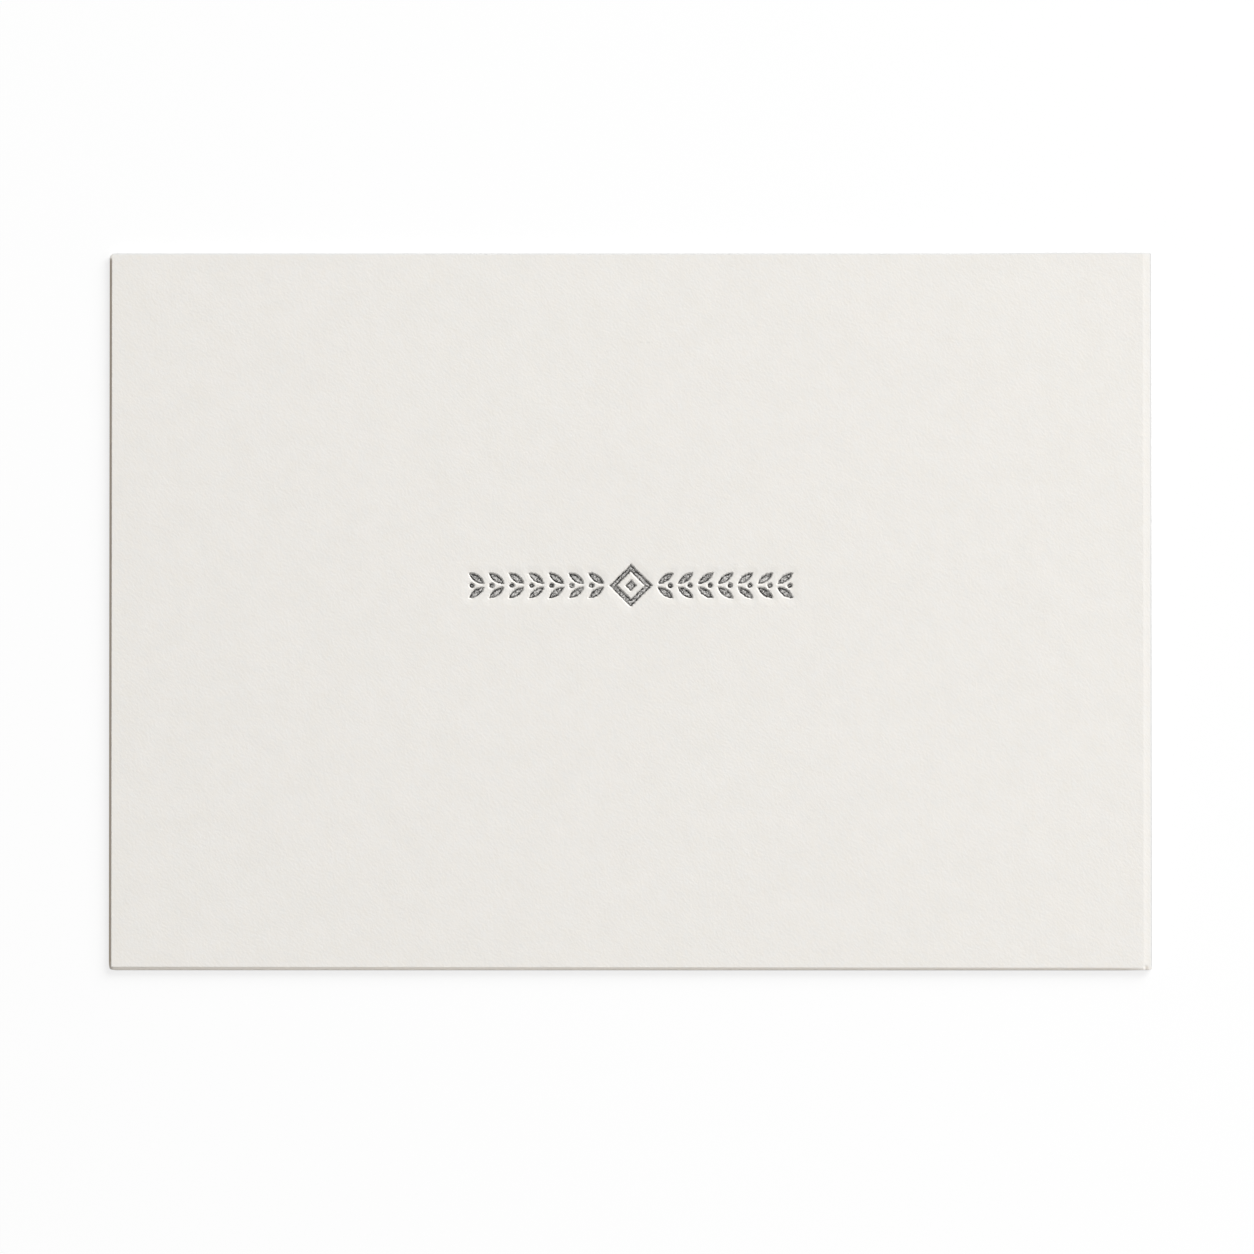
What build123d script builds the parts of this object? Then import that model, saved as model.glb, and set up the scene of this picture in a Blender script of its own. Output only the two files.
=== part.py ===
"""A heavy calling card with one pressed and printed line across its middle.

The card lies on its back. X runs along its long side, to the right as it is read, Y runs up the
card, and Z points out of the printed face. The origin is at the middle of the back.

It is one piece of cotton stock: cut to size, with two of its edges drawn down by the blade, and
one line of type pressed into it. The line is a plain leaf spray, with a lozenge in its middle.
"""

import os
from math import atan2, degrees, sqrt

from build123d import *

# The sheet as it is cut
card_width = 88.9
card_height = 61.7
card_thickness = 0.6
corner_radius = 0.25

# How the cut leaves the edges: drawn down steeply on the left and gently at the bottom, crisp on
# the other two sides and behind, with the right margin pressed down
left_bevel_run = 0.26
left_bevel_drop = 0.26
bottom_bevel_run = 0.25
bottom_bevel_drop = 0.1
right_margin_width = 0.76
right_margin_drop = 0.045
back_edge_radius = 0.04

# How deep the type goes in, and how far its walls lean out to the face
impression_depth = 0.13
wall_run = 0.11

# Where the pressed line stands, above the middle of the card
line_height = 2.15

# The lozenge in the middle, a frame with a small solid one inside
lozenge_span = 3.6
lozenge_line = 0.42
core_span = 0.9

# One leaf of the spray, with its root at the stem line and its tip away from the lozenge
leaf_length = 1.5
leaf_width = 0.54
leaf_tip_radius = 0.05
leaf_angle = 36.0
leaf_root_gap = 0.17

# The pairs of leaves on each side, and the bead that follows each pair on the stem line
pairs_a_side = 7
pair_pitch = 1.7
lozenge_to_pair = 0.55
bead_diameter = 0.38
bead_after_root = 1.0

# A cutter stands a little proud of the face, so that its top never lies on it
cutter_proud = 0.05

# A lozenge is a square on its corner, and the left half of the spray points the other way
on_its_corner = 45.0
half_turn = 180.0

face_level = card_thickness
floor_level = face_level - impression_depth
wall_angle = degrees(atan2(wall_run, impression_depth))
cutter_height = impression_depth + cutter_proud
first_root = lozenge_span / 2 + lozenge_to_pair

# The spray runs out both ways from the lozenge. Each pair has one leaf above the stem line and
# one below, both leaning outwards, and a bead follows it
leaf_places = []
bead_places = []
for way_out, outwards in ((1, 0), (-1, half_turn)):
    for pair in range(pairs_a_side):
        root = way_out * (first_root + pair * pair_pitch)
        bead = root + way_out * bead_after_root
        bead_places.append(Location((bead, line_height, floor_level)))
        for above in (-1, 1):
            level = line_height + above * leaf_root_gap
            turn = outwards + way_out * above * leaf_angle
            leaf_places.append(Location((root, level, floor_level), (0, 0, turn)))

# The type that is pressed in: each punch has its printing face at Z 0 and widens upwards
with BuildPart() as leaf_punch:
    half_length = leaf_length / 2
    half_width = leaf_width / 2
    with BuildSketch():
        with BuildLine():
            RadiusArc((0, 0), (leaf_length, 0), (half_length**2 + half_width**2) / leaf_width)
            mirror(about=Plane.XZ)
        make_face()
        fillet(vertices(), leaf_tip_radius)
    extrude(amount=cutter_height, taper=-wall_angle)

with BuildPart() as bead_punch:
    with BuildSketch():
        Circle(bead_diameter / 2)
    extrude(amount=cutter_height, taper=-wall_angle)

with BuildPart() as lozenge_punch:
    frame_side = lozenge_span / sqrt(2)
    with BuildSketch():
        Rectangle(frame_side, frame_side, rotation=on_its_corner)
    extrude(amount=cutter_height, taper=-wall_angle)

    opening_side = frame_side - 2 * lozenge_line
    with BuildSketch():
        Rectangle(opening_side, opening_side, rotation=on_its_corner)
    extrude(amount=cutter_height, taper=wall_angle, mode=Mode.SUBTRACT)

    core_side = core_span / sqrt(2)
    with BuildSketch():
        Rectangle(core_side, core_side, rotation=on_its_corner)
    extrude(amount=cutter_height, taper=-wall_angle)

with BuildPart() as card:
    with BuildSketch():
        RectangleRounded(card_width, card_height, corner_radius)
    extrude(amount=card_thickness)

    fillet(card.faces().sort_by(Axis.Z)[0].outer_wire().edges(), back_edge_radius)

    # Three wedges come off the face: the left and bottom bevels, and the pressed right margin
    right_edge = card_width / 2
    top_edge = card_height / 2
    for plane, outer, inwards, run, drop in (
        (Plane.XZ, -right_edge, 1, left_bevel_run, left_bevel_drop),
        (Plane.XZ, right_edge, -1, right_margin_width, right_margin_drop),
        (Plane.YZ, -top_edge, 1, bottom_bevel_run, bottom_bevel_drop),
    ):
        inner = outer + inwards * run
        beyond = outer - inwards * run
        with BuildSketch(plane):
            Polygon((inner, face_level), (beyond, face_level), (beyond, face_level - 2 * drop), align=None)
        extrude(amount=card_width, both=True, mode=Mode.SUBTRACT)

    # The whole line goes in at one pull, from the face down to the level of the printed floor
    with Locations((0, line_height, floor_level)):
        add(lozenge_punch.part, mode=Mode.SUBTRACT)
    with Locations(*leaf_places):
        add(leaf_punch.part, mode=Mode.SUBTRACT)
    with Locations(*bead_places):
        add(bead_punch.part, mode=Mode.SUBTRACT)

card.part.label = "card"
os.makedirs("parts", exist_ok=True)
export_step(card.part, "parts/card.step")
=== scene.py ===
"""A heavy cotton calling card, lying on its back on a pale floor.

Sizes are written in millimetres and turned to metres where they are used.
"""

import math

import bpy
import numpy as np
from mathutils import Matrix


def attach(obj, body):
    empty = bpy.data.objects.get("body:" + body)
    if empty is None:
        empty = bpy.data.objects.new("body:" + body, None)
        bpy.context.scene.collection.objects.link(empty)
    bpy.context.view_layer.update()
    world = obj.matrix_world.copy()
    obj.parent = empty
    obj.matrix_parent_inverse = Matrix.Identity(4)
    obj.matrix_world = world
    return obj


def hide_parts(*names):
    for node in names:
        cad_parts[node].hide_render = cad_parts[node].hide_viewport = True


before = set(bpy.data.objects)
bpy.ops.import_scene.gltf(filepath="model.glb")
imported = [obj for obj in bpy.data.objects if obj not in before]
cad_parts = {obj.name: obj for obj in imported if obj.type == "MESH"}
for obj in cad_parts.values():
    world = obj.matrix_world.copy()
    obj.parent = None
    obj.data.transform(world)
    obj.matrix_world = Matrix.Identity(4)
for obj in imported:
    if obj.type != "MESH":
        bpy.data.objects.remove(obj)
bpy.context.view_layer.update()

# The card stock
# The real stock is a thick sheet of uncoated cotton paper, a felt-marked, slightly uneven white.
# It is pulp laid down on a wire, so it has a soft tooth, a cloudy formation and a few fibres
# that lie warmer or cooler than the rest. Its cut edge is raw, darker and browner than its face,
# and on the left and bottom edges, which face away from the lamp, it is darker still with painted shade.
MM = 0.001


def add(tree, kind, inputs=None, **settings):
    """Adds a node to a tree: first its settings, then its inputs, each a value, a node or a socket."""
    node = tree.nodes.new(kind)
    for name, value in settings.items():
        setattr(node, name, value)
    for key, value in (inputs or {}).items():
        for source in value if isinstance(value, list) else [value]:
            if isinstance(source, bpy.types.Node):
                source = source.outputs[0]
            if isinstance(source, bpy.types.NodeSocket):
                tree.links.new(source, node.inputs[key])
            else:
                node.inputs[key].default_value = source
    return node


def linear(hex_colour):
    """An sRGB hex colour as the linear colour that a shader takes."""
    parts = [int(hex_colour[i:i + 2], 16) / 255 for i in (1, 3, 5)]
    return (*(p / 12.92 if p <= 0.04045 else ((p + 0.055) / 1.055) ** 2.4 for p in parts), 1.0)


def new_material(name):
    """A material whose node tree is empty, and that tree."""
    material = bpy.data.materials.new(name)
    material.use_nodes = True
    material.node_tree.nodes.clear()
    return material, material.node_tree


def per_metre(size):
    """The texture scale of a pattern that is that many millimetres in size."""
    return 1 / (size * MM)


face_white = "#EDEAE5"
face_shade = "#E5E2DC"
warm_fibre = "#EEE8DD"
cool_fibre = "#E7E9E9"
rim_grey = "#EBECEC"
# The cut's own brown, made darker so that it also paints the shade on the left and bottom edges
cut_brown_and_shade = "#C8BBAA"
# Grey for the impression's walls: squeezed ink, and painted shade
ink_haze_and_shade = "#8F8C89"
formation_size = 1.9
cloudiness = 0.35
flock_size = 0.42
flock_tint = 0.3
fibre_lay = 40.0
fibre_stretch = 1.5
tooth_size = 0.19
tooth_height = 0.0102
felt_size = 0.6
felt_height = 0.0075
cut_fibre_size = 0.05
cut_fibre_height = 0.006
cut_fibre_stretch = (0.35, 0.35, 1.6)
haze_and_shade_most = 0.42

card_stock, tree = new_material("Uncoated cotton card")
place = add(tree, "ShaderNodeTexCoord").outputs["Object"]

# The pulp flocks into clouds, a little darker where it is thin
formation = add(tree, "ShaderNodeTexNoise", {
    "Vector": place, "Scale": per_metre(formation_size), "Detail": 3.0, "Roughness": 0.6})
formation_share = add(tree, "ShaderNodeMapRange", {
    "Value": formation, "From Min": 0.3, "From Max": 0.7, "To Min": 0.0, "To Max": cloudiness})
pulp = add(tree, "ShaderNodeMix", {
    "Factor": formation_share, 6: linear(face_white), 7: linear(face_shade)}, data_type="RGBA")

# Flocks of fibre lie from the upper left to the lower right, some warmer and some cooler
fibre_place = add(tree, "ShaderNodeMapping", {
    "Vector": place, "Rotation": (0.0, 0.0, math.radians(fibre_lay)),
    "Scale": (1.0, fibre_stretch, 1.0)}, vector_type="TEXTURE")
warm = add(tree, "ShaderNodeTexNoise", {
    "Vector": fibre_place, "Scale": per_metre(flock_size), "Detail": 4.0, "Roughness": 0.7})
warm_share = add(tree, "ShaderNodeMapRange", {
    "Value": warm, "From Min": 0.5, "From Max": 0.75, "To Min": 0.0, "To Max": flock_tint})
with_warm = add(tree, "ShaderNodeMix", {
    "Factor": warm_share, 6: pulp.outputs[2], 7: linear(warm_fibre)}, data_type="RGBA")
cool_share = add(tree, "ShaderNodeMapRange", {
    "Value": warm, "From Min": 0.5, "From Max": 0.25, "To Min": 0.0, "To Max": flock_tint})
with_cool = add(tree, "ShaderNodeMix", {
    "Factor": cool_share, 6: with_warm.outputs[2], 7: linear(cool_fibre)}, data_type="RGBA")

# The face greys a little towards its outline. The cut shows the brown inside of the sheet, deepened with
# painted shade where the edges face away from the lamp
grey_rim = add(tree, "ShaderNodeAttribute", attribute_name="grey_rim").outputs["Fac"]
greyed = add(tree, "ShaderNodeMix", {
    "Factor": grey_rim, 6: with_cool.outputs[2], 7: linear(rim_grey)}, data_type="RGBA")
cut_stain_and_shade_mask = add(tree, "ShaderNodeAttribute", attribute_name="cut_edge").outputs["Fac"]
browner_and_shaded = add(tree, "ShaderNodeMix", {
    "Factor": cut_stain_and_shade_mask, 6: greyed.outputs[2], 7: linear(cut_brown_and_shade)}, data_type="RGBA")

# The walls of the impression are greyed: a little ink is squeezed up them, and the grey is also painted shade
# that dims the walls the lamp lights
pressed = add(tree, "ShaderNodeAttribute", attribute_name="pressed").outputs["Fac"]
haze_and_shade_share = add(tree, "ShaderNodeMapRange", {"Value": pressed, "From Min": 0.25, "To Max": haze_and_shade_most})
colour = add(tree, "ShaderNodeMix", {
    "Factor": haze_and_shade_share, 6: browner_and_shaded.outputs[2], 7: linear(ink_haze_and_shade)}, data_type="RGBA")

# Tooth: the grain of fibre ends, over the softer marks of the felt. A fibre is only about 0.02 mm
# thick, too fine to show, so the tooth is drawn as coarse as it needs to be seen
felt = add(tree, "ShaderNodeTexNoise", {
    "Vector": fibre_place, "Scale": per_metre(felt_size), "Detail": 2.0, "Roughness": 0.5})
felt_bump = add(tree, "ShaderNodeBump", {"Height": felt, "Strength": 1.0, "Distance": felt_height * MM})
tooth = add(tree, "ShaderNodeTexNoise", {
    "Vector": fibre_place, "Scale": per_metre(tooth_size), "Detail": 1.0, "Roughness": 0.5})
tooth_bump = add(tree, "ShaderNodeBump", {
    "Height": tooth, "Strength": 1.0, "Distance": tooth_height * MM, "Normal": felt_bump})

# The raw cut is rougher, with its layers of fibre lying along the sheet
layers_place = add(tree, "ShaderNodeMapping", {"Vector": place, "Scale": cut_fibre_stretch})
layers = add(tree, "ShaderNodeTexNoise", {
    "Vector": layers_place, "Scale": per_metre(cut_fibre_size), "Detail": 3.0, "Roughness": 0.7})
layers_height = add(tree, "ShaderNodeMath", {0: layers, 1: cut_stain_and_shade_mask}, operation="MULTIPLY")
surface = add(tree, "ShaderNodeBump", {
    "Height": layers_height, "Strength": 1.0, "Distance": cut_fibre_height * MM, "Normal": tooth_bump})

# Uncoated stock is matt, with only a trace of sheen
shader = add(tree, "ShaderNodeBsdfPrincipled", {
    "Base Color": colour.outputs[2], "Roughness": 0.92, "Specular IOR Level": 0.25, "Normal": surface})
add(tree, "ShaderNodeOutputMaterial", {"Surface": shader})

# The sheet, as it is cut
# One sheet of the stock, cut from the printed side. The blade drew the face down with it, steeply
# on the left and gently at the bottom, and left a fine burr on the other two edges. The right
# margin was pressed a little lower than the rest, and the lower right corner has been knocked.
card_width = 88.9
card_height = 61.7
card_thickness = 0.6

# An edge of the face is a run into the face and a drop
left_bevel = (0.215, 0.25)
bottom_bevel = (0.222, 0.063)
crisp_edge = (0.03, 0.03)
back_radius = 0.04
corner_round = 0.2
lower_left_rounding = 0.1

# The left bevel swells about one height, and the bottom one grows towards the left
left_swell = 0.12
left_swell_height = -3.0
left_swell_length = 12.0
bottom_growth = 0.43
bottom_end_swell = 0.4
bottom_end_length = 8.0

# The top was cut short up to here, and comes back to its full height over this length
top_cut_short = 0.07
top_full_from = 29.0
top_full_length = 8.0
top_burr = 0.005
top_burr_width = 0.12

margin_width = 0.76
margin_fall = 0.62
margin_drop = 0.045
margin_hollow = 0.4
margin_burr = 0.018
lie_height = 0.008
grey_rim_width = 0.22

# Soft round spots, each with its middle and its radius: the knock, the stain beside it, and the
# place where the two bevels meet
knock_spot = (43.84, -30.62, 0.12)
knock_depth = 0.034
stain_spot = (43.97, -30.71, 0.16)
stain_strength = 0.5
meeting_spot = (-44.24, -30.6, 0.3)

# The grid that the face is made of, which is fine round the type
line_height = 2.15
drape_room = 0.9
plain_step = 1.4
fine_step = plain_step / 31
fine_half_width = 10 * plain_step
fine_half_height = 1.95
corner_step = corner_round / 6
edge_step = 0.05
edge_zone = 0.85


def ramp(value, start, length):
    """0 up to the start, then evenly up to 1 over the length. A negative length runs downwards."""
    return np.clip((value - start) / length, 0, 1)


def soft_spot(x, y, middle_x, middle_y, radius):
    """1 in the middle of a soft round spot, falling away over its radius."""
    return np.exp(-((x - middle_x) ** 2 + (y - middle_y) ** 2) / radius**2)


def graded(*stretches):
    """Places along a line, from stretches of (start, end, spacing)."""
    runs = [np.linspace(a, b, max(1, round((b - a) / step)), endpoint=False) for a, b, step in stretches]
    return np.append(np.concatenate(runs), stretches[-1][1])


# The face's outline is the sheet's, less the bevels. Its grid is fine where the type goes in and
# near the edges
low_x, high_x = left_bevel[0] - card_width / 2, card_width / 2 - crisp_edge[0]
low_y, high_y = bottom_bevel[0] - card_height / 2, card_height / 2 - crisp_edge[0]
low_type = line_height - fine_half_height
high_type = line_height + fine_half_height


def grid_places(low, high, low_fine, high_fine, type_step):
    """The grid's places along one side, with this spacing where the type goes in."""
    return graded(
        (low, low + corner_round, corner_step), (low + corner_round, low + edge_zone, edge_step),
        (low + edge_zone, low_fine - drape_room, plain_step),
        (low_fine - drape_room, low_fine, 3 * fine_step), (low_fine, high_fine, type_step),
        (high_fine, high_fine + drape_room, 3 * fine_step),
        (high_fine + drape_room, high - edge_zone, plain_step),
        (high - edge_zone, high - corner_round, edge_step), (high - corner_round, high, corner_step))


columns = grid_places(low_x, high_x, -fine_half_width, fine_half_width, fine_step)
plain_columns = grid_places(low_x, high_x, -fine_half_width, fine_half_width, plain_step)
rows = grid_places(low_y, high_y, low_type, high_type, fine_step)
across, up = np.meshgrid(columns, rows)
inside_crisp_edges = np.minimum(high_x - across, high_y - up)

# In each corner the square grid is drawn in to the corner's round. At the lower left only the
# bevel is round, and the face inside it keeps a sharper corner. The upper left one is a chamfer
core_x = np.clip(across, low_x + corner_round, high_x - corner_round)
core_y = np.clip(up, low_y + corner_round, high_y - corner_round)
from_x, from_y = across - core_x, up - core_y
away = np.hypot(from_x, from_y)
farther_way = np.maximum(np.abs(from_x), np.abs(from_y))
shrink = farther_way / np.where(away > 0, away, 1)
sharper = 1 + (shrink - 1) * lower_left_rounding
chamfered = farther_way / np.where(away > 0, np.abs(from_x) + np.abs(from_y), 1)
face_shrink = np.where((from_x < 0) & (from_y < 0), sharper, shrink)
face_shrink = np.where((from_x < 0) & (from_y > 0), chamfered, face_shrink)
across, up = core_x + from_x * face_shrink, core_y + from_y * face_shrink
from_x, from_y = from_x * shrink, from_y * shrink


def drawn_left(y):
    """How steeply the left edge is drawn down at that height: most a little below the middle."""
    return 1 + left_swell * np.cos((y - left_swell_height) / left_swell_length)


def drawn_bottom(x):
    """How steeply the bottom edge is drawn down there: most at its left end."""
    return 1 + bottom_end_swell * np.exp(-(x + card_width / 2) / bottom_end_length)


def bottom_reach(x):
    """How much of its usual run the bottom bevel has there: less and less towards the right."""
    return 1 - bottom_growth * x / card_width


# The bottom bevel bites unevenly into the face, and the top edge is lower where it was cut short
near_bottom = np.clip(1 - (up - low_y) / edge_zone, 0, 1)
near_top = np.clip(1 - (high_y - up) / edge_zone, 0, 1)
bitten = bottom_bevel[0] * (bottom_reach(across) - 1) * near_bottom
cut_short = top_cut_short * (1 - ramp(across, top_full_from, top_full_length)) * near_top
up = up + bitten - cut_short


def lie(x, y):
    """How the stock lies, from about 0 to 1: soft waves that are some centimetres long."""
    along = 0.2 * np.sin(x / 9.1 + 0.7)
    crossing = 0.15 * np.sin(y / 7.3 + x / 21.0)
    slanting = 0.15 * np.sin((x - y) / 12.7)
    return 0.5 + along + crossing + slanting


def sunk(x, y):
    """How far the face lies below the sheet's full thickness there."""
    margin_start = card_width / 2 - margin_width
    into_margin = ramp(x, margin_start, margin_fall)
    past_margin = ramp(x, margin_start + margin_fall, margin_width - margin_fall)
    on_top_burr = np.clip(1 - (card_height / 2 - top_cut_short - y) / top_burr_width, 0, 1)
    margin = margin_drop * ((1 + margin_hollow) * into_margin - margin_hollow * into_margin**2)
    margin = margin - margin_burr * past_margin
    knock = knock_depth * soft_spot(x, y, *knock_spot)
    return margin + knock + top_burr * (1 - on_top_burr) + lie_height * lie(x, y)


# Above and below the type only the plain columns are used. A cell is a square, with more points
# along a side that borders on finer cells
plain_column = np.isin(columns.round(6), plain_columns.round(6))
fine_row = (rows > low_type - drape_room - fine_step) & (rows < high_type + drape_room + fine_step)
used = fine_row[:, None] | plain_column[None, :]
point_number = np.where(used, np.cumsum(used).reshape(used.shape) - 1, -1)
faces = []
for row in range(len(rows) - 1):
    in_fine_rows = fine_row[row] and fine_row[row + 1]
    cuts = np.arange(len(columns)) if in_fine_rows else np.flatnonzero(plain_column)
    for left, right in zip(cuts[:-1], cuts[1:]):
        lower, upper = point_number[row, left:right + 1], point_number[row + 1, left:right + 1]
        faces.append(lower[lower >= 0].tolist() + upper[upper >= 0][::-1].tolist())


def round_the_rim(grid):
    """The used values on the grid's outline, once round, anticlockwise from above."""
    outline = [np.concatenate([g[0, :-1], g[:-1, -1], g[-1, :0:-1], g[:0:-1, 0]]) for g in (grid, used)]
    return outline[0][outline[1]]


rim_x, rim_y = round_the_rim(across), round_the_rim(up)
out_x, out_y = round_the_rim(from_x) / corner_round, round_the_rim(from_y) / corner_round
rim_level = card_thickness - sunk(rim_x, rim_y)
to_left, to_bottom = out_x**2 * (out_x < 0), out_y**2 * (out_y < 0)
to_crisp = out_x**2 * (out_x > 0) + out_y**2 * (out_y > 0)

# The left bevel runs out in a round just below the top, and the bottom one runs out just before
# the knocked corner. Where they meet at the lower left both are a little weaker. The shares say
# how much of the run, drop, and brown with painted shade is left there
top_round_from, top_round_length = 30.3, 0.38
left_from, left_length = 30.42, -0.36
knocked_round_from, knocked_round_length = 43.95, 0.47
bottom_from, bottom_length = 43.66, -0.4
top_run_share = 0.4
knocked_run_share = 0.4
meeting_run_share = 0.88
top_drop_share = 0.12
knocked_drop_share = 0.1
meeting_brown_and_shade_share = 0.6


def between(least, share):
    """A value that goes from the least one to 1 as the share goes from 0 to 1."""
    return least + (1 - least) * share


in_top_round = ramp(rim_y, top_round_from, top_round_length) ** 1.3
in_knocked_round = ramp(rim_x, knocked_round_from, knocked_round_length)
below_top = ramp(rim_y, left_from, left_length)
unknocked = ramp(rim_x, bottom_from, bottom_length)
not_meeting = 1 - soft_spot(rim_x, rim_y, *meeting_spot)
left_run = left_bevel[0] * between(top_run_share, 1 - in_top_round)
low_run = bottom_bevel[0] * bottom_reach(rim_x) * between(knocked_run_share, np.sqrt(1 - in_knocked_round**2))
run_kept = between(meeting_run_share, not_meeting)
run_x = out_x * np.where(out_x < 0, left_run * run_kept, crisp_edge[0])
run_y = out_y * np.where(out_y < 0, low_run * run_kept, crisp_edge[0])
left_drop = left_bevel[1] * drawn_left(rim_y) * between(top_drop_share, below_top**2)
low_drop = bottom_bevel[1] * bottom_reach(rim_x) * drawn_bottom(rim_x)
low_drop = low_drop * between(knocked_drop_share, unknocked)
drop = to_left * left_drop + to_bottom * low_drop + to_crisp * crisp_edge[1]

# The drawn edges show the brown inside of the stock and painted shade, as they face away from the lamp, most
# on the left, and the wall a little of it
everywhere_brown = 0.1
left_brown_and_shade = 0.9
bottom_brown_and_shade = 0.33
drawn_brown_and_shade = left_brown_and_shade * to_left * below_top + bottom_brown_and_shade * to_bottom * unknocked
browned_and_shaded = everywhere_brown + drawn_brown_and_shade * between(meeting_brown_and_shade_share, not_meeting)
wall_brown_and_shade = 0.05 + 0.2 * browned_and_shaded

# The blade leaned a little, so the bottom wall slopes back under the face, most at the left. The
# knock has pushed the face out over the wall too
middle_undercut = 0.009
knocked_undercut = 0.03
undercut = to_bottom * (middle_undercut * (1 - 2 * rim_x / card_width) + knocked_undercut * (1 - unknocked))

# Rings go outwards and down from the face's outline: the bevel, the cut wall, the back edge. Each
# has its share of the run, its level, its brown with painted shade, and how far it is tucked in.
# The bevel's are given as shares of the run, the drop, and the brown with painted shade
bevel = ((0.03, 0.01, 0.1), (0.08, 0.045, 0.35), (0.16, 0.13, 0.7), (0.5, 0.51, 1.0), (0.85, 0.83, 1.0),
         (0.95, 0.92, 1.0), (1.0, 1.0, 1.0))
rings = [(out, rim_level - down * drop, brown_and_shade * browned_and_shaded, 0.0) for out, down, brown_and_shade in bevel]
wall_top = rim_level - drop
for share in (0.25, 0.5, 0.75, 1.0):
    rings.append((1.0, wall_top + (back_radius - wall_top) * share, wall_brown_and_shade, undercut * share))
for turn in np.linspace(0, math.pi / 2, 5)[1:]:
    level = np.full_like(rim_level, back_radius * (1 - math.sin(turn)))
    rings.append((1.0, level, wall_brown_and_shade * math.cos(turn), undercut + back_radius * (1 - math.cos(turn))))

# The stain is as brown as the cut, and the face and the bevels are greyer close to crisp edges
face_x, face_y = across[used], up[used]
points = [np.stack([face_x, face_y, card_thickness - sunk(face_x, face_y)], axis=1)]
cut_stain_and_shade_share = [stain_strength * soft_spot(face_x, face_y, *stain_spot)]
grey_share = [np.clip(1 - inside_crisp_edges[used] / grey_rim_width, 0, 1)]
for place_out, (share, level, brown_and_shade, tuck) in enumerate(rings):
    ring_x = np.clip(rim_x + share * run_x - tuck * out_x, -card_width / 2, card_width / 2)
    ring_y = np.clip(rim_y + share * run_y - tuck * out_y, -card_height / 2, card_height / 2)
    points.append(np.stack([ring_x, ring_y, level], axis=1))
    cut_stain_and_shade_share.append(np.maximum(brown_and_shade, stain_strength * soft_spot(ring_x, ring_y, *stain_spot)))
    grey_share.append(np.clip(1 - to_left - to_bottom, 0, 1) * (place_out < len(bevel)))

ring = round_the_rim(point_number)
for step in range(len(rings)):
    following = np.arange(len(ring)) + len(face_x) + step * len(ring)
    faces += np.stack([ring, following, np.roll(following, -1), np.roll(ring, -1)], axis=1).tolist()
    ring = following
faces.append(ring[::-1].tolist())

blank_sheet = bpy.data.meshes.new("blank_sheet")
blank_sheet.from_pydata((np.concatenate(points) * MM).tolist(), [], faces)
for name, shares in (("cut_edge", cut_stain_and_shade_share), ("grey_rim", grey_share)):
    values = np.concatenate(shares).astype(np.float32)
    blank_sheet.attributes.new(name, "FLOAT", "POINT").data.foreach_set("value", values)

# The type
# A line of ornament, cast as one strip of metal type: a spray of leaves and beads that runs out
# both ways from a lozenge. Its printing face is flat. The leaves and beads follow a rule, so
# Geometry Nodes set them, and the lozenge in the middle is drawn here.
lozenge_span = 3.6
lozenge_line = 0.42
core_span = 0.9
leaf_length = 1.5
leaf_width = 0.54
leaf_angle = 36.0
leaf_root_gap = 0.17
pairs_a_side = 7
pair_pitch = 1.7
lozenge_to_pair = 0.55
bead_diameter = 0.38
bead_after_root = 1.0
edge_wander = 0.045
wander_length = 0.2
wander_seed = 7
weld_distance = 0.001


def new_tree(name, inputs):
    """A Geometry Nodes tree with named inputs, and its node that brings them in."""
    tree = bpy.data.node_groups.new(name, "GeometryNodeTree")
    tree.is_modifier = True
    tree.interface.new_socket("Geometry", in_out="OUTPUT", socket_type="NodeSocketGeometry")
    tree.interface.new_socket("Geometry", in_out="INPUT", socket_type="NodeSocketGeometry")
    for label, kind in inputs.items():
        tree.interface.new_socket(label, in_out="INPUT", socket_type="NodeSocket" + kind)
    return tree, add(tree, "NodeGroupInput").outputs


def worked(name, start, tree, values):
    """The plain mesh that a tree makes of a starting mesh, with these values in its named inputs."""
    holder = bpy.data.objects.new(name, start)
    bpy.context.scene.collection.objects.link(holder)
    modifier = holder.modifiers.new(tree.name, "NODES")
    modifier.node_group = tree
    for socket in tree.interface.items_tree:
        if socket.in_out == "INPUT" and socket.name in values:
            modifier[socket.identifier] = values[socket.name]
    depsgraph = bpy.context.evaluated_depsgraph_get()
    mesh = bpy.data.meshes.new_from_object(
        holder.evaluated_get(depsgraph), preserve_all_data_layers=True, depsgraph=depsgraph)
    bpy.data.objects.remove(holder)
    mesh.name = name
    return mesh


def diamonds(spans, points_a_side):
    """Squares on their corners, one inside the other, as the points along their four sides."""
    share = np.linspace(0, 1, points_a_side, endpoint=False)
    corners = [(1, 0), (0, 1), (-1, 0), (0, -1), (1, 0)]
    loop = np.concatenate([
        np.outer(1 - share, start) + np.outer(share, end) for start, end in zip(corners[:-1], corners[1:])])
    return [loop * span / 2 for span in spans]


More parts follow.
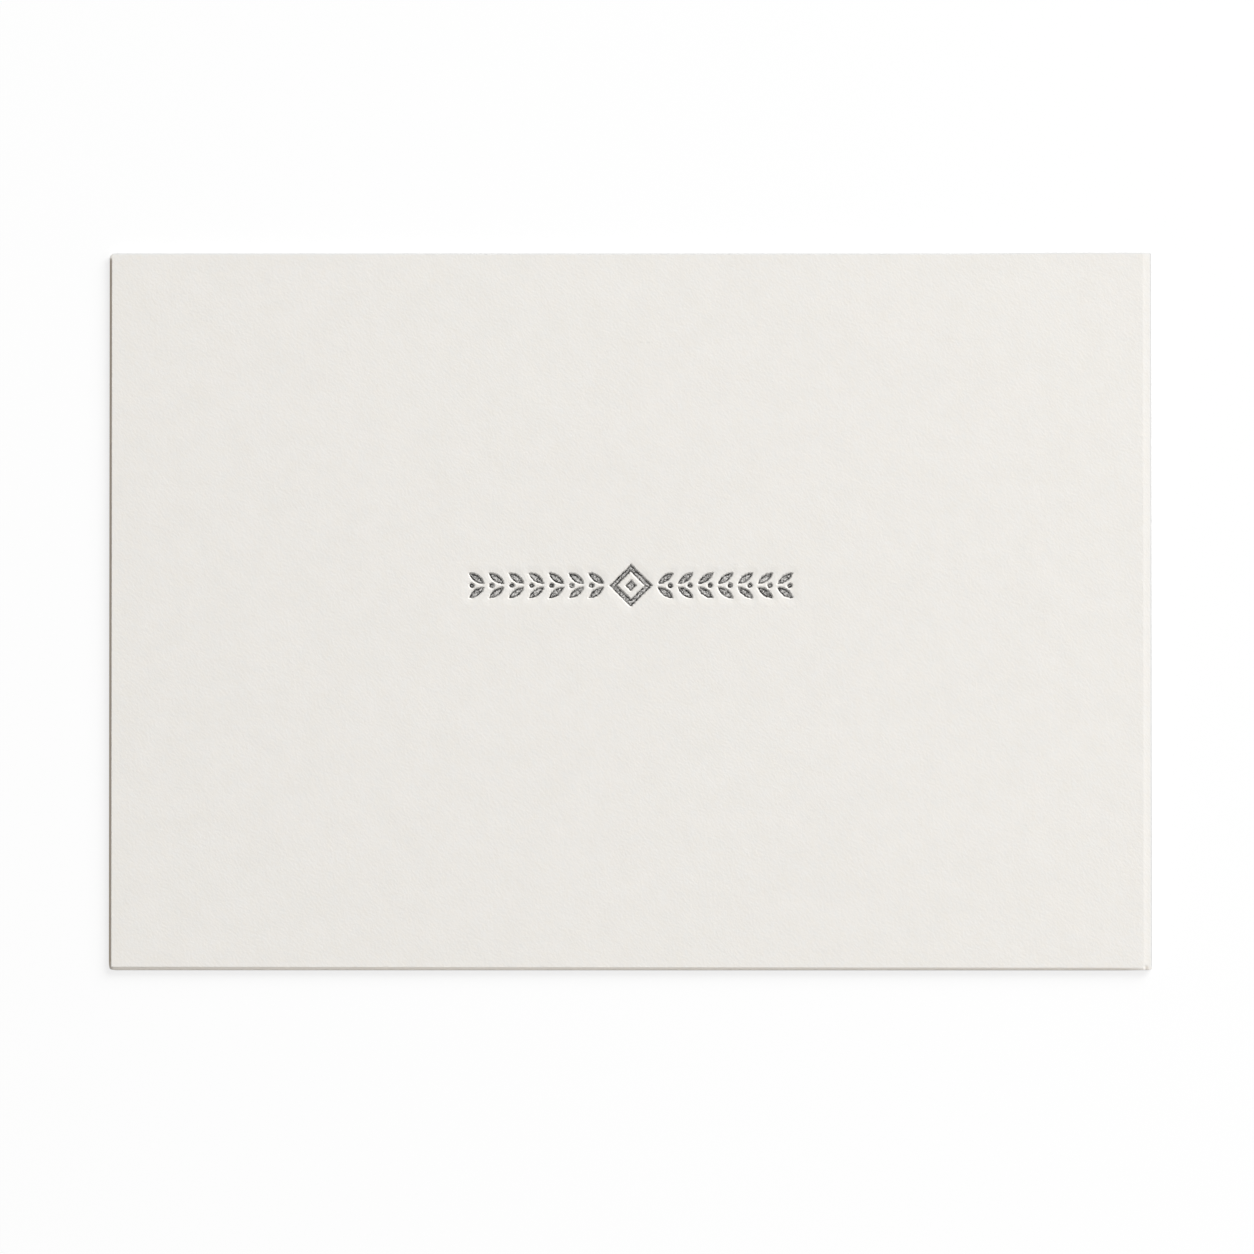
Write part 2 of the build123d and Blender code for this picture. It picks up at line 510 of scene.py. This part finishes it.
# The lozenge's frame and core: rings of quads, with each point's distance from the printed rim
frame_spans = np.linspace(lozenge_span, lozenge_span - 2 * lozenge_line * math.sqrt(2), 7)
core_spans = np.linspace(core_span, core_span / 8, 4)
mark_points, mark_faces, rim_distance = [], [], []
for spans, last_is_rim in ((frame_spans, True), (core_spans, False)):
    loops = diamonds(spans, points_a_side=48)
    size = len(loops[0])
    first = sum(map(len, mark_points))
    for span, loop in zip(spans, loops):
        mark_points.append(loop)
        depth = (spans[0] - span) / 2 / math.sqrt(2)
        if last_is_rim:
            depth = min(depth, lozenge_line - depth)
        rim_distance.append(np.full(size, max(depth, 0.0)))
    for step_in in range(len(loops) - 1):
        outer = first + step_in * size + np.arange(size)
        inner = outer + size
        mark_faces += np.stack([outer, np.roll(outer, -1), np.roll(inner, -1), inner], axis=1).tolist()
    if not last_is_rim:
        mark_faces.append((first + (len(loops) - 1) * size + np.arange(size)).tolist())
mark_x, mark_y = np.concatenate(mark_points).T
mark_points = np.column_stack([mark_x, mark_y + line_height, np.zeros(len(mark_x))])
lozenge = bpy.data.meshes.new("lozenge_type")
lozenge.from_pydata((mark_points * MM).tolist(), [], mark_faces)
lozenge.attributes.new("from_rim", "FLOAT", "POINT").data.foreach_set(
    "value", (np.concatenate(rim_distance) * MM).astype(np.float32))

spray, given = new_tree("Leaf spray", {
    "Pairs a side": "Int", "Pair pitch": "Float", "First root": "Float", "Leaf length": "Float",
    "Leaf width": "Float", "Leaf angle": "Float", "Root gap": "Float", "Bead diameter": "Float",
    "Bead after root": "Float", "Line height": "Float", "Edge wander": "Float",
    "Wander length": "Float", "Seed": "Int", "Material": "Material"})

# One leaf: a strip that is as wide as two arcs leave it, with its root at the origin
half_length = add(spray, "ShaderNodeMath", {0: given["Leaf length"], 1: 0.5}, operation="MULTIPLY")
half_width = add(spray, "ShaderNodeMath", {0: given["Leaf width"], 1: 0.5}, operation="MULTIPLY")
length_squared = add(spray, "ShaderNodeMath", {0: half_length, 1: half_length}, operation="MULTIPLY")
width_squared = add(spray, "ShaderNodeMath", {0: half_width, 1: half_width}, operation="MULTIPLY")
both_squared = add(spray, "ShaderNodeMath", {0: length_squared, 1: width_squared}, operation="ADD")
arc_radius = add(spray, "ShaderNodeMath", {0: both_squared, 1: given["Leaf width"]}, operation="DIVIDE")
strip = add(spray, "GeometryNodeMeshGrid", {
    "Size X": given["Leaf length"], "Size Y": 2.0, "Vertices X": 33, "Vertices Y": 9})
position = add(spray, "GeometryNodeInputPosition")
strip_place = add(spray, "ShaderNodeSeparateXYZ", {"Vector": position}).outputs
along = strip_place["X"]
along_squared = add(spray, "ShaderNodeMath", {0: along, 1: along}, operation="MULTIPLY")
radius_squared = add(spray, "ShaderNodeMath", {0: arc_radius, 1: arc_radius}, operation="MULTIPLY")
rise_squared = add(spray, "ShaderNodeMath", {0: radius_squared, 1: along_squared}, operation="SUBTRACT")
rise = add(spray, "ShaderNodeMath", {0: rise_squared}, operation="SQRT")
centre_drop = add(spray, "ShaderNodeMath", {0: arc_radius, 1: half_width}, operation="SUBTRACT")
half_here = add(spray, "ShaderNodeMath", {0: rise, 1: centre_drop}, operation="SUBTRACT")
off_middle = add(spray, "ShaderNodeMath", {0: strip_place["Y"]}, operation="ABSOLUTE")
to_rim_share = add(spray, "ShaderNodeMath", {0: 1.0, 1: off_middle}, operation="SUBTRACT")
to_rim = add(spray, "ShaderNodeMath", {0: half_here, 1: to_rim_share}, operation="MULTIPLY")
measured = add(spray, "GeometryNodeStoreNamedAttribute", {
    "Geometry": strip, "Name": "from_rim", "Value": to_rim}, data_type="FLOAT", domain="POINT")
leaf_x = add(spray, "ShaderNodeMath", {0: along, 1: half_length}, operation="ADD")
leaf_y = add(spray, "ShaderNodeMath", {0: strip_place["Y"], 1: half_here}, operation="MULTIPLY")
leaf_shape = add(spray, "GeometryNodeSetPosition", {
    "Geometry": measured, "Position": add(spray, "ShaderNodeCombineXYZ", {"X": leaf_x, "Y": leaf_y})})
leaf = add(spray, "GeometryNodeMergeByDistance", {"Geometry": leaf_shape, "Distance": weld_distance * MM})

# One bead: a disc, with the distance from its rim
bead_radius = add(spray, "ShaderNodeMath", {0: given["Bead diameter"], 1: 0.5}, operation="MULTIPLY")
disc = add(spray, "GeometryNodeMeshCircle", {
    "Vertices": 28, "Radius": bead_radius}, fill_type="TRIANGLE_FAN")
from_centre = add(spray, "ShaderNodeVectorMath", {
    0: add(spray, "GeometryNodeInputPosition")}, operation="LENGTH").outputs["Value"]
bead_to_rim = add(spray, "ShaderNodeMath", {0: bead_radius, 1: from_centre}, operation="SUBTRACT")
bead = add(spray, "GeometryNodeStoreNamedAttribute", {
    "Geometry": disc, "Name": "from_rim", "Value": bead_to_rim}, data_type="FLOAT", domain="POINT")

# The right half: a leaf above and one below at each root, and a bead after it
roots = add(spray, "GeometryNodeMeshLine", {
    "Count": given["Pairs a side"],
    "Start Location": add(spray, "ShaderNodeCombineXYZ", {"X": given["First root"]}),
    "Offset": add(spray, "ShaderNodeCombineXYZ", {"X": given["Pair pitch"]})})
half = []
for above in (1.0, -1.0):
    gap = add(spray, "ShaderNodeMath", {0: given["Root gap"], 1: above}, operation="MULTIPLY")
    turn = add(spray, "ShaderNodeMath", {0: given["Leaf angle"], 1: above}, operation="MULTIPLY")
    placed = add(spray, "GeometryNodeTransform", {
        "Geometry": leaf, "Translation": add(spray, "ShaderNodeCombineXYZ", {"Y": gap}),
        "Rotation": add(spray, "ShaderNodeCombineXYZ", {"Z": turn})})
    half.append(add(spray, "GeometryNodeInstanceOnPoints", {"Points": roots, "Instance": placed}))
after_root = add(spray, "ShaderNodeCombineXYZ", {"X": given["Bead after root"]})
bead_placed = add(spray, "GeometryNodeTransform", {"Geometry": bead, "Translation": after_root})
half.append(add(spray, "GeometryNodeInstanceOnPoints", {"Points": roots, "Instance": bead_placed}))
right_half = add(spray, "GeometryNodeJoinGeometry", {"Geometry": half})

# The left half is the right one turned half round, and both are raised to the line
left_half = add(spray, "GeometryNodeTransform", {"Geometry": right_half, "Rotation": (0.0, 0.0, math.pi)})
both_halves = add(spray, "GeometryNodeJoinGeometry", {"Geometry": [right_half, left_half]})
to_line = add(spray, "ShaderNodeCombineXYZ", {"Y": given["Line height"]})
raised = add(spray, "GeometryNodeTransform", {"Geometry": both_halves, "Translation": to_line})
with_lozenge = add(spray, "GeometryNodeJoinGeometry", {"Geometry": [raised, given["Geometry"]]})
one_mesh = add(spray, "GeometryNodeRealizeInstances", {"Geometry": with_lozenge})

# No printed edge is quite true, because the ink creeps along the fibres. The noise strays about
# a quarter from its middle, so it is taken four times
wander_scale = add(spray, "ShaderNodeMath", {0: 1.0, 1: given["Wander length"]}, operation="DIVIDE")
wander = add(spray, "ShaderNodeTexNoise", {
    "Vector": add(spray, "GeometryNodeInputPosition"), "W": given["Seed"], "Scale": wander_scale,
    "Detail": 2.0}, noise_dimensions="4D")
wander_way = add(spray, "ShaderNodeVectorMath", {
    0: wander.outputs["Color"], 1: (0.5, 0.5, 0.5)}, operation="SUBTRACT")
wander_size = add(spray, "ShaderNodeMath", {0: given["Edge wander"], 1: 4.0}, operation="MULTIPLY")
wander_step = add(spray, "ShaderNodeVectorMath", {
    0: wander_way, "Scale": wander_size}, operation="SCALE")
in_plane = add(spray, "ShaderNodeVectorMath", {0: wander_step, 1: (1.0, 1.0, 0.0)}, operation="MULTIPLY")
wandered = add(spray, "GeometryNodeSetPosition", {"Geometry": one_mesh, "Offset": in_plane})
add(spray, "NodeGroupOutput", {0: add(spray, "GeometryNodeSetMaterial", {
    "Geometry": wandered, "Material": given["Material"]})})

type_face = bpy.data.objects.new("type_face", worked("type_face", lozenge, spray, {
    "Pairs a side": pairs_a_side, "Pair pitch": pair_pitch * MM,
    "First root": (lozenge_span / 2 + lozenge_to_pair) * MM, "Leaf length": leaf_length * MM,
    "Leaf width": leaf_width * MM, "Leaf angle": math.radians(leaf_angle), "Root gap": leaf_root_gap * MM,
    "Bead diameter": bead_diameter * MM, "Bead after root": bead_after_root * MM,
    "Line height": line_height * MM, "Edge wander": edge_wander * MM, "Wander length": wander_length * MM,
    "Seed": wander_seed, "Material": card_stock}))
bpy.context.scene.collection.objects.link(type_face)

# The impression
# The type is pressed hard into the soft sheet, so it leaves a flat floor with steep walls, and
# it draws the paper round it down a little. A tree lowers each point of the sheet by its
# distance from the type.
impression_depth = 0.12
floor_margin = 0.02
wall_run = 0.075
drape_depth = 0.025
drape_reach = 0.75

press, given = new_tree("Pressing the type in", {
    "Type": "Object", "Depth": "Float", "Floor margin": "Float", "Wall run": "Float",
    "Drape depth": "Float", "Drape reach": "Float", "Material": "Material"})
type_shape = add(press, "GeometryNodeObjectInfo", {"Object": given["Type"]}).outputs["Geometry"]
level_place = add(press, "ShaderNodeVectorMath", {
    0: add(press, "GeometryNodeInputPosition"), 1: (1.0, 1.0, 0.0)}, operation="MULTIPLY")
from_type = add(press, "GeometryNodeProximity", {
    0: type_shape, "Sample Position": level_place}, target_element="FACES").outputs["Distance"]
wall_end = add(press, "ShaderNodeMath", {0: given["Floor margin"], 1: given["Wall run"]}, operation="ADD")
wall_share = add(press, "ShaderNodeMapRange", {
    "Value": from_type, "From Min": given["Floor margin"], "From Max": wall_end, "To Min": 1.0,
    "To Max": 0.0}, interpolation_type="SMOOTHSTEP")
drape_share = add(press, "ShaderNodeMapRange", {
    "Value": from_type, "From Min": 0.0, "From Max": given["Drape reach"], "To Min": 1.0,
    "To Max": 0.0}, interpolation_type="SMOOTHSTEP")
drape = given["Drape depth"]
wall_depth = add(press, "ShaderNodeMath", {0: given["Depth"], 1: drape}, operation="SUBTRACT")
wall_part = add(press, "ShaderNodeMath", {0: wall_share, 1: wall_depth}, operation="MULTIPLY")
drape_part = add(press, "ShaderNodeMath", {0: drape_share, 1: drape}, operation="MULTIPLY")
down = add(press, "ShaderNodeMath", {0: wall_part, 1: drape_part}, operation="ADD")
lowering = add(press, "ShaderNodeMath", {0: down, 1: -1.0}, operation="MULTIPLY")
marked = add(press, "GeometryNodeStoreNamedAttribute", {
    "Geometry": given["Geometry"], "Name": "pressed", "Value": wall_share},
    data_type="FLOAT", domain="POINT")
lowered = add(press, "GeometryNodeSetPosition", {
    "Geometry": marked, "Offset": add(press, "ShaderNodeCombineXYZ", {"Z": lowering})})
smooth = add(press, "GeometryNodeSetShadeSmooth", {"Geometry": lowered})
add(press, "NodeGroupOutput", {0: add(press, "GeometryNodeSetMaterial", {
    "Geometry": add(press, "GeometryNodeRealizeInstances", {"Geometry": smooth}),
    "Material": given["Material"]})})

sheet = bpy.data.objects.new("cotton_sheet", worked("cotton_sheet", blank_sheet, press, {
    "Type": type_face, "Depth": impression_depth * MM, "Floor margin": floor_margin * MM,
    "Wall run": wall_run * MM, "Drape depth": drape_depth * MM, "Drape reach": drape_reach * MM,
    "Material": card_stock}))
bpy.context.scene.collection.objects.link(sheet)
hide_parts("card")
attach(sheet, "root")

# The ink
# A thin film of metallic grey letterpress ink on the floor of the impression. The plate
# squeezes it outwards, so it is darkest round its rim, deepened there with painted shade, and it
# lies thin and speckled inside, where the paper's tooth shows through and pale flecks also stand
# in as painted glints.
film_thickness = 0.006
ink_dark = "#383634"
ink_mid = "#B8B6B3"
# Pale flecks: bare tooth, and painted glints on the metal
bare_tooth_and_glint = "#F4F2EF"
# The squeezed rim: dark ink, deepened with painted shade
ink_rim_and_shade = "#100F0E"
rim_inner = 0.17
rim_outer = 0.09
rim_break_size = 0.3
mottle_size = 0.18
speckle_size = 0.12
speckle_height = 0.004

silver_ink, tree = new_material("Silver grey letterpress ink")
place = add(tree, "ShaderNodeTexCoord").outputs["Object"]
mottle = add(tree, "ShaderNodeTexNoise", {
    "Vector": place, "Scale": per_metre(mottle_size), "Detail": 3.0, "Roughness": 0.65})
mottle_share = add(tree, "ShaderNodeMapRange", {"Value": mottle, "From Min": 0.4, "From Max": 0.6})
grey = add(tree, "ShaderNodeMix", {
    "Factor": mottle_share, 6: linear(ink_dark), 7: linear(ink_mid)}, data_type="RGBA")

# The squeezed rim is dark, partly as squeezed ink and partly as painted shade, and breaks up where the fibres
# drew less ink
rim = add(tree, "ShaderNodeAttribute", attribute_name="from_rim").outputs["Fac"]
rim_share = add(tree, "ShaderNodeMapRange", {
    "Value": rim, "From Min": rim_outer * MM, "From Max": rim_inner * MM, "To Min": 1.0, "To Max": 0.0},
    interpolation_type="SMOOTHSTEP")
rim_break = add(tree, "ShaderNodeTexNoise", {
    "Vector": place, "Scale": per_metre(rim_break_size), "Detail": 2.0, "Roughness": 0.6})
rim_hold = add(tree, "ShaderNodeMapRange", {
    "Value": rim_break, "From Min": 0.38, "From Max": 0.56, "To Min": 0.45, "To Max": 1.0})
rim_left = add(tree, "ShaderNodeMath", {0: rim_share, 1: rim_hold}, operation="MULTIPLY")
rimmed = add(tree, "ShaderNodeMix", {
    "Factor": rim_left, 6: grey.outputs[2], 7: linear(ink_rim_and_shade)}, data_type="RGBA")

# Pale flecks show, partly bare tooth showing through and partly painted glints of the metal,
# fewer of them in the rim. The real ones are finer than the render shows, so they are drawn as
# coarse as they need to be seen
speckle = add(tree, "ShaderNodeTexNoise", {
    "Vector": place, "Scale": per_metre(speckle_size), "Detail": 2.0, "Roughness": 0.7})
speckle_share = add(tree, "ShaderNodeMapRange", {"Value": speckle, "From Min": 0.52, "From Max": 0.66})
fleck_room = add(tree, "ShaderNodeMapRange", {"Value": rim_left, "To Min": 1.0, "To Max": 0.12})
fleck_share = add(tree, "ShaderNodeMath", {0: speckle_share, 1: fleck_room}, operation="MULTIPLY")
ink_colour = add(tree, "ShaderNodeMix", {
    "Factor": fleck_share, 6: rimmed.outputs[2], 7: linear(bare_tooth_and_glint)}, data_type="RGBA")

# The metal flake in it gives the ink a soft shine
ink_bump = add(tree, "ShaderNodeBump", {
    "Height": speckle, "Strength": 1.0, "Distance": speckle_height * MM})
shader = add(tree, "ShaderNodeBsdfPrincipled", {
    "Base Color": ink_colour.outputs[2], "Metallic": 0.5, "Roughness": 0.45, "Normal": ink_bump})
add(tree, "ShaderNodeOutputMaterial", {"Surface": shader})

# The film stands its own thickness above the floor of the impression, and has as much again in
# the paper. It is the type's printing face, made thick and closed
printing, given = new_tree("Printing the ink", {
    "Floor level": "Float", "Film thickness": "Float", "Material": "Material"})
film = given["Film thickness"]
under = add(printing, "ShaderNodeMath", {0: given["Floor level"], 1: film}, operation="SUBTRACT")
underside = add(printing, "GeometryNodeSetPosition", {
    "Geometry": given["Geometry"], "Offset": add(printing, "ShaderNodeCombineXYZ", {"Z": under})})
twice = add(printing, "ShaderNodeMath", {0: film, 1: 2.0}, operation="MULTIPLY")
upper = add(printing, "GeometryNodeExtrudeMesh", {
    "Mesh": underside, "Offset": (0.0, 0.0, 1.0), "Offset Scale": twice, "Individual": False}, mode="FACES")
turned = add(printing, "GeometryNodeFlipFaces", {"Mesh": underside})
shell = add(printing, "GeometryNodeJoinGeometry", {"Geometry": [upper.outputs["Mesh"], turned]})
closed = add(printing, "GeometryNodeMergeByDistance", {
    "Geometry": shell, "Distance": weld_distance / 2 * MM})
add(printing, "NodeGroupOutput", {0: add(printing, "GeometryNodeSetMaterial", {
    "Geometry": add(printing, "GeometryNodeRealizeInstances", {"Geometry": closed}),
    "Material": given["Material"]})})

line_x = np.linspace(-fine_half_width, fine_half_width, 57)
line_y = np.full_like(line_x, line_height)
face_at_line = card_thickness - float(np.mean(sunk(line_x, line_y)))
ink = bpy.data.objects.new("pressed_ink", worked("pressed_ink", type_face.data, printing, {
    "Floor level": (face_at_line - impression_depth) * MM, "Film thickness": film_thickness * MM,
    "Material": silver_ink}))
bpy.context.scene.collection.objects.link(ink)
bpy.data.objects.remove(type_face)
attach(ink, "root")

# The floor
# A pale, matt table top. It is painted so that it reads as white to the camera and still
# takes the card's soft shadow. It is open under the card, so that the back is lit from below,
# and it isn't seen from behind.
floor_reach = 3000.0
opening_inset = 0.1
table_white = "#FDFDFD"
plain_white = 0.75
plain_white_level = 0.995


def seen_plainly(tree):
    """1 for a ray that shows a plain background: from the camera, or by way of gloss or glass."""
    rays = add(tree, "ShaderNodeLightPath").outputs
    gloss = add(tree, "ShaderNodeMath", {
        0: rays["Is Camera Ray"], 1: rays["Is Glossy Ray"]}, operation="MAXIMUM")
    return add(tree, "ShaderNodeMath", {0: gloss, 1: rays["Is Transmission Ray"]}, operation="MAXIMUM")


outer = floor_reach * MM
open_x = (card_width / 2 - opening_inset) * MM
open_y = (card_height / 2 - opening_inset) * MM
floor_mesh = bpy.data.meshes.new("floor")
floor_mesh.from_pydata(
    [(-outer, -outer, 0), (outer, -outer, 0), (outer, outer, 0), (-outer, outer, 0),
     (-open_x, -open_y, 0), (open_x, -open_y, 0), (open_x, open_y, 0), (-open_x, open_y, 0)],
    [], [(0, 1, 5, 4), (1, 2, 6, 5), (2, 3, 7, 6), (3, 0, 4, 7)])
floor = bpy.data.objects.new("floor", floor_mesh)
bpy.context.scene.collection.objects.link(floor)
table_top, tree = new_material("Matt white table top")
white_share = add(tree, "ShaderNodeMath", {0: seen_plainly(tree), 1: plain_white}, operation="MULTIPLY")
paint = add(tree, "ShaderNodeBsdfDiffuse", {"Color": linear(table_white)})
glow = add(tree, "ShaderNodeEmission", {"Color": (1.0, 1.0, 1.0, 1.0), "Strength": plain_white_level})
front = add(tree, "ShaderNodeMixShader", {0: white_share, 1: paint, 2: glow})

# The camera looks through it from below, where the card's back is what there is to see
from_camera = add(tree, "ShaderNodeLightPath").outputs["Is Camera Ray"]
behind = add(tree, "ShaderNodeNewGeometry").outputs["Backfacing"]
from_below = add(tree, "ShaderNodeMath", {0: behind, 1: from_camera}, operation="MULTIPLY")
clear = add(tree, "ShaderNodeBsdfTransparent")
table_shader = add(tree, "ShaderNodeMixShader", {0: from_below, 1: front, 2: clear})
add(tree, "ShaderNodeOutputMaterial", {"Surface": table_shader})
floor_mesh.materials.append(table_top)

# The light
# One large soft lamp to the upper right, low enough to show the paper's tooth, gives more than
# half of the light on the face, and a small near one to the right a tenth. The rest comes evenly
# from a pale room. A lamp below the table lights the back, and the floor keeps it from the rest.
main_share = 0.55
side_share = 0.1
lamp_elevation = 30.0


def hang_lamp(name, azimuth, elevation, distance, size, share):
    """A square lamp that looks at the card, and gives a level face that share of plain light."""
    around, above = math.radians(azimuth), math.radians(elevation)
    way, edge = distance * MM, size * MM
    lamp = bpy.data.lights.new(name, "AREA")
    lamp.size = edge
    lamp.energy = share * math.pi * (math.pi * way**2 + edge**2) / abs(math.sin(above))
    hung = bpy.data.objects.new(name, lamp)
    hung.location = (way * math.cos(around) * math.cos(above),
                     way * math.sin(around) * math.cos(above), way * math.sin(above))
    hung.rotation_euler = hung.location.to_track_quat("Z", "Y").to_euler()
    hung.visible_camera = False
    bpy.context.scene.collection.objects.link(hung)


hang_lamp("Lamp to the upper right", azimuth=47.0, elevation=lamp_elevation, distance=2600.0,
          size=1700.0, share=main_share)
hang_lamp("Lamp to the right", azimuth=0.0, elevation=lamp_elevation, distance=700.0,
          size=450.0, share=side_share)
hang_lamp("Lamp below the table", azimuth=0.0, elevation=-90.0, distance=1800.0,
          size=1200.0, share=main_share + side_share)

# The room gives the rest of the light, and looks plain white
room_share = 1 - main_share - side_share
room = bpy.data.worlds.new("Pale room")
room.use_nodes = True
tree = room.node_tree
tree.nodes.clear()
room_level = add(tree, "ShaderNodeMapRange", {
    "Value": seen_plainly(tree), "To Min": room_share, "To Max": 1.0})
add(tree, "ShaderNodeOutputWorld", {"Surface": add(tree, "ShaderNodeBackground", {
    "Color": (1.0, 1.0, 1.0, 1.0), "Strength": room_level})})
bpy.context.scene.world = room
bpy.context.scene.view_settings.view_transform = "Standard"

# The camera
# It looks nearly straight down, from a little towards the card's lower edge, through a long lens.
# The lens is as long as it must be for the card to fill the frame from that far away.
camera_distance = 4400.0
camera_elevation = 82.5
camera_lens = 1481.7
sensor_width = 36.0
nearest_seen = 100.0
farthest_seen = 20000.0
aim = np.array([-0.317, -1.34, 0.0])

tilt = math.radians(camera_elevation)
camera_place = aim + camera_distance * np.array([0.0, -math.cos(tilt), math.sin(tilt)])
lens = bpy.data.cameras.new("Camera")
lens.sensor_width = sensor_width
lens.lens = camera_lens
lens.clip_start, lens.clip_end = nearest_seen * MM, farthest_seen * MM
camera = bpy.data.objects.new("Camera", lens)
camera.location = camera_place * MM
camera.rotation_euler = (math.radians(90 - camera_elevation), 0.0, 0.0)
bpy.context.scene.collection.objects.link(camera)
bpy.context.scene.camera = camera
